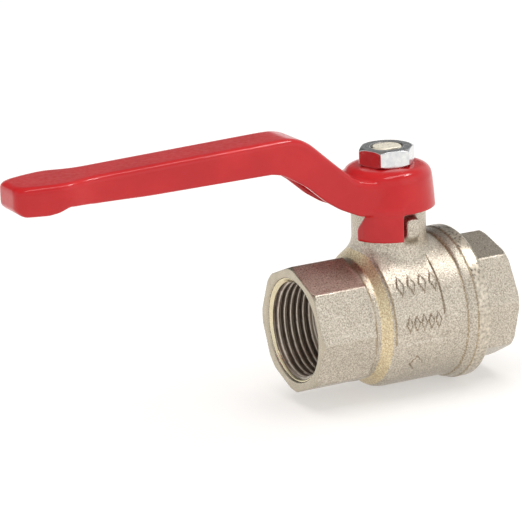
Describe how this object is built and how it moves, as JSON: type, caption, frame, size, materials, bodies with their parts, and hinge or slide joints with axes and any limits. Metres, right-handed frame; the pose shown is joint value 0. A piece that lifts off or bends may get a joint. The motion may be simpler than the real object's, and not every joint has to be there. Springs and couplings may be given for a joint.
{
  "type": "ball valve",
  "caption": "Quarter-turn ball valve with internally threaded octagonal ports, a stem boss with stop lugs and a long channel-section lever held by a hex nut.",
  "frame": {"origin": "centre of the inlet port's face, on the flow axis", "axes": "+X along the flow axis, from the inlet face to the outlet face; +Z along the stem, towards the lever; the valve is open, with its lever pointing to -X"},
  "size_m": [0.1335, 0.04, 0.0714],
  "materials": {
    "nickel_plate": "shot-blasted nickel plate on brass, satin",
    "stem_brass": "turned, bright",
    "ball_chrome": "chrome plated, polished",
    "ptfe": "smooth PTFE",
    "rubber": "smooth nitrile rubber",
    "lever_paint": "glossy red coat",
    "nut_steel": "zinc plated, bright"
  },
  "bodies": {
    "valve_body": {"body": "nickel_plate", "end_cap": "nickel_plate", "cap_seal_ring": "rubber", "seat_inlet": "ptfe", "seat_outlet": "ptfe", "stem_thrust_washer": "ptfe", "packing_ring_lower": "ptfe", "packing_ring_upper": "ptfe", "gland_nut": "stem_brass"},
    "handle": {"stem": "stem_brass", "lever": "lever_paint", "lever_nut": "nut_steel", "stem_o_ring": "rubber"},
    "ball": {"ball": "ball_chrome"}
  },
  "joints": [
    {"name": "lever_turn", "type": "hinge", "parent": "valve_body", "child": "handle", "pos_m": [0.029, 0, 0], "axis": [0, 0, -1], "range_deg": [0, 90]},
    {"name": "ball_turn", "type": "hinge", "parent": "valve_body", "child": "ball", "pos_m": [0.029, 0, 0], "axis": [0, 0, -1], "range_deg": [0, 90]}
  ],
  "couplings": [
    {"joint": "ball_turn", "follows": "lever_turn", "ratio": 1}
  ]
}
